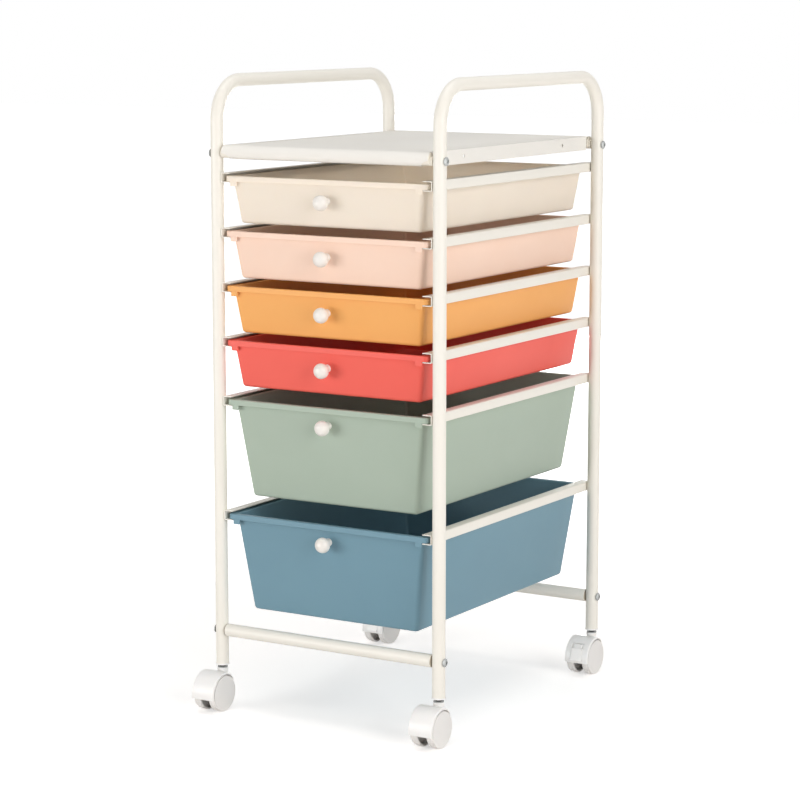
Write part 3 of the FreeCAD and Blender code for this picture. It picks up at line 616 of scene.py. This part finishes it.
def round_ended_bar(y):
    """Circle carried along x whose radius shrinks in a quarter round at both ends."""
    reach = BAR_HALF - BAR_GAP
    end_x = reach - BAR_EDGE * TO_GO
    end_radius = BAR_RADIUS - BAR_EDGE * GAINED
    x = np.concatenate([-end_x[::-1], end_x])[:, None]
    radius = np.concatenate([end_radius[::-1], end_radius])[:, None]
    around = circle_angles()
    ring_y, ring_z = y + radius * np.cos(around), BAR_HEIGHT + radius * np.sin(around)
    return np.stack([x + 0 * around, ring_y, ring_z], axis=-1)


inserts = []
for end, y in POSTS_Y.items():
    make_piece(end + "_round_bar", [skin(round_ended_bar(y))],
               "frame", tube_coat, [end + "_cross_bar"])
    for sign in SIDES.values():
        start = (sign * (BAR_HALF - INSERT_LENGTH), y, BAR_HEIGHT)
        inserts.append(skin(round_bar(start, (sign * BAR_HALF, y, BAR_HEIGHT), INSERT_RADIUS)))
make_piece("bar_end_inserts", inserts,
           "frame", insert_plastic_painted_shade, ["cross_bar_inserts"])
print("bars:", len(POSTS_Y), "inserts:", len(inserts))

# %% [markdown]
# ## The drawers
# A drawer is one thin moulding: a tapered tray with a rim that is turned down all round, which
# stiffens it and hangs it in the runners. Every level of it is a rectangle with round corners, so
# the whole skin, outside and inside, is one run of such rings. The rounds at the floor, the lip
# and the rim are what catches the light, and they need only a few rings each.

# %% Rings of a drawer
RIM_HALF_X, RIM_HALF_Y = 144.0, 204.5
RIM_HEIGHT, RIM_TOP, RIM_LIP, RIM_CORNER = 6.9, 2.0, 1.8, 7.0
RIM_ROUND, LIP_ROUND, MOUTH_ROUND = 1.2, 0.4, 0.8
WALL, BODY_CORNER, FLOOR_ROUND = 1.8, 6.0, 3.6
# Width and length are half sizes at the rim; side and end are how far the walls lean in; the
# knob's drop is measured from the rim's lower edge
SHALLOW = {
    "depth": 57.6, "width": 135.8, "length": 201.5, "side": 8.0, "end": 7.2, "knob_drop": 18.4}
DEEP = {
    "depth": 121.4, "width": 134.8, "length": 199.5, "side": 16.0, "end": 13.5, "knob_drop": 14.9}


def rounded_rectangles(half_x, half_y, radius, height, steps=9):
    """One flat rectangle ring per entry: straight sides joined by quarter arcs of the radius."""
    angles = (np.linspace(0, np.pi / 2, steps) + np.arange(4)[:, None] * np.pi / 2).ravel()
    sign_x = np.repeat([1, -1, -1, 1], steps)
    sign_y = np.repeat([1, 1, -1, -1], steps)
    half_x, half_y, radius, height = (
        np.asarray(value, float)[:, None]
        for value in np.broadcast_arrays(half_x, half_y, radius, height))
    x = sign_x * (half_x - radius) + radius * np.cos(angles)
    y = sign_y * (half_y - radius) + radius * np.sin(angles)
    return np.stack([x, y, np.broadcast_to(height, x.shape)], axis=-1)


def body_rings(kind, inset, height):
    """Rings of the tapered tray: both half sizes shrink with the depth below the rim."""
    share = (RIM_HEIGHT - height) / kind["depth"]
    half_x = kind["width"] - share * kind["side"] - inset
    half_y = kind["length"] - share * kind["end"] - inset
    return rounded_rectangles(half_x, half_y, BODY_CORNER - inset, height)


def rim_rings(inset, height):
    """Rings of the turned-down rim, set in from its outer face."""
    return rounded_rectangles(RIM_HALF_X - inset, RIM_HALF_Y - inset, RIM_CORNER - inset, height)


def drawer_rings(kind):
    """From the outer floor up the wall, over the rim and down the inner wall to the inner floor.

    A quarter round of radius r adds r (1 - sine) to the inset while the height gains
    r (1 - cosine).
    """
    floor = RIM_HEIGHT - kind["depth"]
    outer = body_rings(
        kind, np.append(FLOOR_ROUND * TO_GO, 0),
        np.append(floor + FLOOR_ROUND * GAINED, RIM_HEIGHT - RIM_TOP))
    lip = rim_rings(
        np.array([RIM_LIP, RIM_LIP, RIM_LIP - LIP_ROUND, LIP_ROUND, 0]),
        np.array([RIM_HEIGHT - RIM_TOP, LIP_ROUND, 0, 0, LIP_ROUND]))
    brow = rim_rings(RIM_ROUND * GAINED, RIM_HEIGHT - RIM_ROUND * TO_GO)
    mouth = body_rings(kind, WALL - MOUTH_ROUND * TO_GO, RIM_HEIGHT - MOUTH_ROUND * GAINED)
    inner_round = FLOOR_ROUND - WALL
    inner = body_rings(kind, WALL + inner_round * GAINED, floor + WALL + inner_round * TO_GO)
    return np.concatenate([outer, lip, brow, mouth, inner])


print("rings in a drawer:", len(drawer_rings(SHALLOW)))

# %% [markdown]
# ## Tabs and colours
# Two small guide tabs hang from the front of each rim. They are blocks with round edges, and belong
# to the same moulding as the tray, so each drawer is one piece in one colour.

# %% Mould the drawers
DRAWERS = [("cream", SHALLOW), ("peach", SHALLOW), ("orange", SHALLOW), ("coral", SHALLOW),
           ("sage", DEEP), ("blue", DEEP)]
TABS_X = ((-135.5, -126.5), (126.5, 135.5))
TAB_FOOT, TAB_TOP = -5.5, 1.0
# A corner stays this much rounder than the edge, so that its inmost ring keeps its own points
CORNER_SHARE = 1.02


def block_rings(x_span, y_span, z_span, edge):
    """Small block with round upright and top and bottom edges."""
    (x0, x1), (y0, y1), (z0, z1) = x_span, y_span, z_span
    inset = edge * np.concatenate([TO_GO, GAINED])
    height = np.concatenate([z0 + edge * GAINED, z1 - edge * TO_GO])
    rings = rounded_rectangles(
        (x1 - x0) / 2 - inset, (y1 - y0) / 2 - inset, CORNER_SHARE * edge - inset, height)
    return rings + np.array([(x0 + x1) / 2, (y0 + y1) / 2, 0])


for number, ((colour, kind), rim_height) in enumerate(zip(DRAWERS, RIM_HEIGHTS), start=1):
    body = "drawer_%d" % number
    tab_y = (-RIM_HALF_Y, -RIM_HALF_Y + RIM_LIP)
    tabs = [block_rings(tab_x, tab_y, (TAB_FOOT, TAB_TOP), LIP_ROUND) for tab_x in TABS_X]
    lift = np.array([0, MIDDLE_Y, rim_height])
    make_piece(body + "_moulding", [skin(rings + lift) for rings in [drawer_rings(kind)] + tabs],
               body, drawer_plastics[colour], [body + "_box"])
print("drawers:", len(DRAWERS), "tabs on each:", len(TABS_X))

# %% [markdown]
# ## The knobs
# Each knob is turned in shape: a neck that widens into a head like a flattened ball. A profile of
# radius against length is spun about the knob's own axis, which leans with the drawer's front.

# %% Spin the knobs
KNOB_NECK, KNOB_RADIUS = 4.7, 9.5
KNOB_MIDDLE, KNOB_HALF = 14.0, 8.6
NECK_FLARE = 0.5
NECK_RINGS, HEAD_RINGS = 10, 30
# The last ring stops just short of the pole, by this angle, so it still has a size
KNOB_POLE_GAP = 0.03
NEARLY_ONE = 0.9


def spun_rings(profile, base, axis, steps=CIRCLE_STEPS):
    """Profile of (radius, length) spun about an axis through the base."""
    axis = np.asarray(axis, float) / np.linalg.norm(axis)
    along_x = abs(axis[0]) >= NEARLY_ONE
    across = np.array([0, 1.0, 0]) if along_x else np.cross(axis, [1.0, 0, 0])
    across = across / np.linalg.norm(across)
    third = np.cross(axis, across)
    around = circle_angles(steps)[:, None]
    spoke = np.cos(around) * across + np.sin(around) * third
    radius, length = np.asarray(profile, float).T
    return base + length[:, None, None] * axis + radius[:, None, None] * spoke


def knob_profile():
    """Waisted neck, then an ellipse: radius R cos t, length M + H sin t."""
    start = -math.acos(KNOB_NECK / KNOB_RADIUS)
    sweep = np.linspace(start, np.pi / 2 - KNOB_POLE_GAP, HEAD_RINGS)
    head = np.stack([KNOB_RADIUS * np.cos(sweep), KNOB_MIDDLE + KNOB_HALF * np.sin(sweep)], axis=1)
    length = np.linspace(0, head[0, 1], NECK_RINGS)[:-1]
    waist = KNOB_NECK + NECK_FLARE * np.cos(np.pi * length / head[0, 1]) ** 2 - NECK_FLARE / 2
    return np.concatenate([np.stack([waist, length], axis=1), head])


for number, ((_, kind), rim_height) in enumerate(zip(DRAWERS, RIM_HEIGHTS), start=1):
    body = "drawer_%d" % number
    slope = kind["end"] / kind["depth"]
    drop = -kind["knob_drop"]
    front = -(kind["length"] - slope * (RIM_HEIGHT - drop))
    base = np.array([0, front + MIDDLE_Y, rim_height + drop])
    rings = spun_rings(knob_profile(), base, (0, -1, -slope))
    make_piece(body + "_turned_knob", [skin(rings)],
               body, knob_plastic, [body + "_knob"])
print("knob reaches", round(knob_profile()[-1, 1], 1), "mm from the drawer's front")

# %% [markdown]
# ## The casters
# Each caster has two wheels under one hood. The hood is a strip bent about the axle: a rectangle
# with round corners carried through an angle, which thins and narrows towards the rear.

# %% Sections of a hood
HOOD_INNER, HOOD_OUTER, HOOD_HALF = 24.0, 27.0, 16.3
HOOD_FRONT, HOOD_REAR = math.radians(-9), math.radians(152)
HOOD_ROUND, HOOD_INSIDE_ROUND = 1.2, 0.3
HOOD_THINNING, HOOD_NARROWING, TAPER_START = 0.85, 0.14, math.radians(80)
HOOD_RINGS = 60


def about_axle(outline, angles):
    """Outline of (distance from the axle, place across) carried through angles from the front."""
    outline = np.broadcast_to(outline, (len(angles), *np.shape(outline)[-2:]))
    distance, x = outline[..., 0], outline[..., 1]
    y = -distance * np.cos(angles)[:, None]
    return np.stack([x, y, distance * np.sin(angles)[:, None]], axis=-1)


def strip_outline(inner, outer, half, inner_round, outer_round):
    """Section of a bent strip: a rectangle with one round for inner and one for outer corners."""
    corners = [(inner, -half), (outer, -half), (outer, half), (inner, half)]
    return rounded_outline(corners, [inner_round, outer_round, outer_round, inner_round])


hood_angles = np.linspace(HOOD_FRONT, HOOD_REAR, HOOD_RINGS)
hood_outline = strip_outline(HOOD_INNER, HOOD_OUTER, HOOD_HALF, HOOD_INSIDE_ROUND, HOOD_ROUND)
rearward = np.clip((hood_angles - TAPER_START) / (HOOD_REAR - TAPER_START), 0, 1)[:, None] ** 2
hood_outlines = np.stack([
    HOOD_INNER + (hood_outline[:, 0] - HOOD_INNER) * (1 - HOOD_THINNING * rearward),
    hood_outline[:, 1] * (1 - HOOD_NARROWING * rearward)], axis=2)
print("sections along a hood:", len(hood_outlines))

# %% [markdown]
# ## Collars, webs and windows
# A collar stands on the hood for the stem, and a web between the wheels holds the axle; its
# near-black colour is painted shade for the slot between the wheels. The rear hoods have a window
# for a brake lever, cut in the same way as the holes in the shelf.

# %% Collar and web
CASTER_TRAIL = 18.0
COLLAR_RADIUS, COLLAR_TOP, COLLAR_FOOT, COLLAR_EDGE = 6.8, 28.0, 20.5, 0.9
STEM_HOLE, STEM_HOLE_FOOT = 4.05, 21.5
WEB_HALF, WEB_LOW, WEB_REACH = 6.0, 7.5, 24.4
WEB_STEPS = 30
UPWARD = (0, 0, 1)


def outer_edge(radius, place, size):
    """Quarter round of a spun profile, where its side turns in to an end face at that place."""
    return np.stack([radius - size * GAINED, place - size * TO_GO], axis=1)


def collar_profile():
    """Collar with a soft top edge, from inside the hood up, and down the hole for the stem."""
    top = outer_edge(COLLAR_RADIUS, COLLAR_TOP, COLLAR_EDGE)
    hole = [(STEM_HOLE, COLLAR_TOP), (STEM_HOLE, STEM_HOLE_FOOT)]
    return np.concatenate([[(COLLAR_RADIUS, COLLAR_FOOT)], top, hole])


def web_rings():
    """Plate between the wheels: a piece of a disc behind and above the axle, carried across."""
    start = math.asin(WEB_LOW / WEB_REACH)
    arc = np.linspace(-start, np.pi / 2 + start, WEB_STEPS)
    rim = np.stack([WEB_REACH * np.cos(arc), WEB_REACH * np.sin(arc)], axis=1)
    outline = np.concatenate([rim, [(-WEB_LOW, -WEB_LOW)]])
    return carried(outline, (-WEB_HALF, WEB_HALF), ALONG_X)


collar = spun_rings(collar_profile(), np.array([0, CASTER_TRAIL, 0]), UPWARD)
print("rings in a collar:", len(collar), "points round a web:", web_rings().shape[1])

# %% Make the hoods
AXLE_HEIGHT = 23.0
WINDOW = (math.radians(-3), math.radians(48.8))
WINDOW_HALF, WINDOW_OVERRUN, WINDOW_RINGS = 8.2, 3.0, 24
window_outline = strip_outline(
    HOOD_INNER - WINDOW_OVERRUN, HOOD_OUTER + WINDOW_OVERRUN, WINDOW_HALF,
    HOOD_INSIDE_ROUND, HOOD_INSIDE_ROUND)
casters = {}
for end, y in POSTS_Y.items():
    for side, sign in SIDES.items():
        name = "%s_%s_caster" % (end, side)
        casters[name] = np.array([sign * POST_X, y - CASTER_TRAIL, AXLE_HEIGHT])
        shell = [about_axle(hood_outlines, hood_angles), collar]
        hood = make_piece(name + "_moulded_hood", [skin(rings + casters[name]) for rings in shell],
                          name, hood_plastic, [name + "_hood"])
        make_piece(name + "_axle_web", [skin(web_rings() + casters[name])],
                   name, web_plastic_painted_shade)
        if end == "rear":
            window = about_axle(window_outline, np.linspace(*WINDOW, WINDOW_RINGS))
            carve(hood, [skin(window + casters[name])])
        print(hood.name, len(hood.data.polygons), "faces")

# %% [markdown]
# ## The wheels
# A wheel is moulded hollow, with a round-edged tread and a smooth, slightly domed outer disc. Its
# profile is spun about the axle. The disc is a little smaller than the tread, so the gap between
# it and the hood shows as a thin dark arc.

# %% Spin the wheels
WHEEL_RADIUS = 23.0
WHEEL_INNER, TREAD_OUTER = 6.3, 13.0
WHEEL_ROUND, DISC_ROUND = 1.5, 0.5
DISC_RADIUS, DISC_EDGE, DISC_CROWN = 22.3, 16.2, 17.9
AXLE_RADIUS = 3.1
HUB_RADIUS, HOLLOW_RADIUS, HOLLOW_END = 5.5, 20.6, 12.5
WHEEL_STEPS, DOME_RINGS, DOME_POLE_GAP = 72, 24, 0.02


def wheel_profile():
    """(radius, place along the axle): hub, hollow, tread, step and disc up to its crown."""
    inner_edge = np.stack(
        [WHEEL_RADIUS - WHEEL_ROUND * TO_GO, WHEEL_INNER + WHEEL_ROUND * GAINED], axis=1)
    step_edge = outer_edge(WHEEL_RADIUS, TREAD_OUTER, DISC_ROUND)
    disc_edge = outer_edge(DISC_RADIUS, DISC_EDGE, DISC_ROUND)
    share = np.cos(np.linspace(0, np.pi / 2 - DOME_POLE_GAP, DOME_RINGS))[1:]
    height = DISC_EDGE + (DISC_CROWN - DISC_EDGE) * (1 - share ** 2)
    dome = np.stack([share * (DISC_RADIUS - DISC_ROUND), height], axis=1)
    hub = [(AXLE_RADIUS, WHEEL_INNER), (HUB_RADIUS, WHEEL_INNER), (HUB_RADIUS, HOLLOW_END),
           (HOLLOW_RADIUS, HOLLOW_END), (HOLLOW_RADIUS, WHEEL_INNER)]
    step = [(DISC_RADIUS, TREAD_OUTER)]
    return np.concatenate([hub, inner_edge, step_edge, step, disc_edge, dome])


for name, axle in casters.items():
    for hand, sign in SIDES.items():
        wheel = "%s_%s_wheel" % (name, hand)
        rings = spun_rings(wheel_profile(), axle, (sign, 0, 0), WHEEL_STEPS)
        make_piece(wheel + "_moulding", [skin(rings)],
                   wheel, wheel_plastic, [wheel])
print("wheels:", len(SIDES) * len(casters))

# %% [markdown]
# ## The brake levers
# A lever fills the window in each rear hood. It is a bent strip like the hood. Its lower part
# swells into a pad for a toe, and a narrower rib runs from the pad up to the pivot, so three bent
# strips of different height and width lie in one another, with a round knuckle along the pivot.

# %% Bend the brake levers
LEVER_INNER, LEVER_ROUND = 24.6, 0.6
LEVER_PIVOT = math.radians(46)
KNUCKLE_RADIUS, KNUCKLE_REACH, KNUCKLE_HALF = 1.2, 25.5, 7.9
# Outer distance from the axle, half width, first and last angle in degrees
LEVER_STRIPS = {
    "plate": (27.4, 8.0, -2, 46),
    "pad": (29.2, 8.0, -2, 32),
    "rib": (28.3, 5.5, 32, 46),
}


def lever_strip(outer, half, start, finish):
    """Bent strip whose outer face sinks by a quarter round towards both ends of its angle."""
    turns = LEVER_ROUND * TO_GO / outer
    start, finish = math.radians(start), math.radians(finish)
    angles = np.concatenate([start + turns, finish - turns[::-1]])
    sink = LEVER_ROUND * GAINED
    sink = np.concatenate([sink, sink[::-1]])
    flat = strip_outline(LEVER_INNER, outer, half, HOOD_INSIDE_ROUND, LEVER_ROUND)
    outside = flat[:, 0] > (LEVER_INNER + outer) / 2
    outlines = np.broadcast_to(flat, (len(angles), *flat.shape)).copy()
    outlines[..., 0] -= sink[:, None] * outside
    return about_axle(outlines, angles)


for name, axle in casters.items():
    if name.startswith("rear"):
        lever = name + "_brake_lever"
        strips = [skin(lever_strip(*strip) + axle) for strip in LEVER_STRIPS.values()]
        pivot = axle + KNUCKLE_REACH * np.array([0, -math.cos(LEVER_PIVOT), math.sin(LEVER_PIVOT)])
        across = np.array([KNUCKLE_HALF, 0, 0])
        knuckle = round_bar(pivot - across, pivot + across, KNUCKLE_RADIUS, SMALL_STEPS)
        strips.append(skin(knuckle))
        make_piece(lever + "_moulding", strips, lever, hood_plastic, [lever])
        print("made", lever)

# %% [markdown]
# ## Screws, sockets, plugs and axles
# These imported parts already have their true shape, so they stay and only take a finish: plated
# steel for the screws and axles, and plastic for the sockets and plugs.

# %% Finish the small parts
SMALL_PARTS = {
    "shelf_screws": zinc_steel, "cross_bar_screws": zinc_steel, "post_sockets": hood_plastic,
    "shelf_end_plugs": plug_plastic,
}
for number in range(1, len(DRAWERS) + 1):
    SMALL_PARTS["drawer_%d_knob_screw" % number] = zinc_steel
for name in casters:
    SMALL_PARTS[name + "_axle"] = zinc_steel
for name, finish in SMALL_PARTS.items():
    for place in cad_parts[name].material_slots:
        place.material = finish
print("small parts finished:", len(SMALL_PARTS))

# %% [markdown]
# ## The caster stems
# A stem is given a near-black colour, painted shade where it goes into the post, and has a plated
# flange over the collar. The packed stem is one solid with one finish, so it is made again as two
# spun profiles.

# %% Spin the stems
STEM_RADIUS, STEM_TOP = 4.0, 40.0
STEM_FLANGE, STEM_FLANGE_BEVEL = 6.6, 0.3
STEM_FLANGE_FOOT, STEM_FLANGE_TOP = 28.1, 29.5
STEM_PROFILE = [(STEM_RADIUS, COLLAR_TOP), (STEM_RADIUS, STEM_TOP)]
FLANGE_PROFILE = [
    (STEM_RADIUS, STEM_FLANGE_FOOT),
    (STEM_FLANGE - STEM_FLANGE_BEVEL, STEM_FLANGE_FOOT),
    (STEM_FLANGE, STEM_FLANGE_FOOT + STEM_FLANGE_BEVEL),
    (STEM_FLANGE, STEM_FLANGE_TOP - STEM_FLANGE_BEVEL),
    (STEM_FLANGE - STEM_FLANGE_BEVEL, STEM_FLANGE_TOP),
    (STEM_RADIUS, STEM_FLANGE_TOP),
]
stems, flanges = [], []
for axle in casters.values():
    middle = axle + np.array([0, CASTER_TRAIL, 0])
    stems.append(skin(spun_rings(STEM_PROFILE, middle, UPWARD)))
    flanges.append(skin(spun_rings(FLANGE_PROFILE, middle, UPWARD)))
make_piece("caster_stem_pins", stems, "frame", stem_steel_painted_shade, ["caster_stems"])
make_piece("caster_stem_flanges", flanges, "frame", zinc_steel)
print("stems:", len(stems), "flanges:", len(flanges))

# %% [markdown]
# ## The floor
# A product picture wants a pale floor that keeps the cart's soft shadow and then fades into white.
# White paper alone would look grey in this light, so it glows where it is looked at or mirrored,
# fully so away from the cart. The soft light that it sends back to the cart is left alone.

# %% Lay the floor
FLOOR_HALF = 14.0
PAPER_ROUGHNESS, PAPER_GLOSS = 0.9, 0.1
NEAR_LIFT, FADE_START, FADE_END = 0.48, 0.5, 1.4


def seen_ray(tree):
    """1 for rays from the camera, a mirror or clear plastic, and 0 for rays that gather light."""
    ray = add(tree, "ShaderNodeLightPath")
    mirror = add(tree, "ShaderNodeMath", {
        0: ray.outputs["Is Camera Ray"], 1: ray.outputs["Is Glossy Ray"]}, operation="MAXIMUM")
    clear = add(tree, "ShaderNodeMath", {
        0: mirror.outputs[0], 1: ray.outputs["Is Transmission Ray"]}, operation="MAXIMUM")
    return clear.outputs[0]


# Near the cart the lift towards white is only partial, so that the shadow stays
floor_material, tree, place = new_material("studio_paper_floor")
away = add(tree, "ShaderNodeVectorMath", {0: place}, operation="LENGTH")
lift = add(tree, "ShaderNodeMapRange", {
    "Value": away.outputs["Value"], "From Min": FADE_START, "From Max": FADE_END,
    "To Min": NEAR_LIFT, "To Max": 1.0}, interpolation_type="SMOOTHSTEP")
shown = add(tree, "ShaderNodeMath", {
    0: lift.outputs["Result"], 1: seen_ray(tree)}, operation="MULTIPLY")
matt = add(tree, "ShaderNodeBsdfPrincipled", {
    "Base Color": linear("F6F2EF"), "Roughness": PAPER_ROUGHNESS, "Specular IOR Level": PAPER_GLOSS,
    "Emission Color": linear("FFFFFF"), "Emission Strength": shown.outputs[0]})
add(tree, "ShaderNodeOutputMaterial", {"Surface": matt.outputs["BSDF"]})
floor_mesh = bpy.data.meshes.new("floor")
floor_corners = np.array([(-1, -1, 0), (1, -1, 0), (1, 1, 0), (-1, 1, 0)]) * FLOOR_HALF
floor_mesh.from_pydata(floor_corners.tolist(), [], [(0, 1, 2, 3)])
floor_mesh.materials.append(floor_material)
floor = bpy.data.objects.new("floor", floor_mesh)
bpy.context.scene.collection.objects.link(floor)
print("floor", 2 * FLOOR_HALF, "metres wide")

# %% [markdown]
# ## World and lamps
# The world is plain white to the camera and to reflections, and dimmer as a source of light, so the
# background is white without washing out the object. The lamps are large, which softens shadows:
# the key is low at the front left, the fill is at the right, one lamp hangs above, and a smaller
# one lights the back from below the shelf's height.

# %% Hang the lamps
SKY_LIGHT = 0.13
world = bpy.data.worlds.new("studio")
bpy.context.scene.world = world
world.use_nodes = True
world.node_tree.nodes.clear()
tree = world.node_tree
level = add(tree, "ShaderNodeMapRange", {
    "Value": seen_ray(tree), "To Min": SKY_LIGHT, "To Max": 1.0})
sky = add(tree, "ShaderNodeBackground", {
    "Color": linear("FFFFFF"), "Strength": level.outputs["Result"]})
add(tree, "ShaderNodeOutputWorld", {"Surface": sky.outputs["Background"]})

# Place and size in metres, power in watts
LAMPS = {
    "key": ((-1.9, -3.1, 0.25), 2.5, 105.0),
    "fill": ((3.4, -1.4, 1.2), 2.5, 88.0),
    "top": ((0.0, 0.0, 3.4), 2.5, 46.0),
    "rear": ((-1.0, 3.4, 0.25), 0.9, 38.0),
}
for name, (spot, size, power) in LAMPS.items():
    lamp = bpy.data.objects.new(name, bpy.data.lights.new(name, "AREA"))
    bpy.context.scene.collection.objects.link(lamp)
    lamp.data.size = size
    lamp.data.energy = power
    lamp.location = spot
    lamp.rotation_euler = (CAMERA_AIM - Vector(spot)).to_track_quat("-Z", "Y").to_euler()
bpy.context.scene.view_settings.view_transform = "Standard"
print("lamps:", ", ".join(LAMPS))
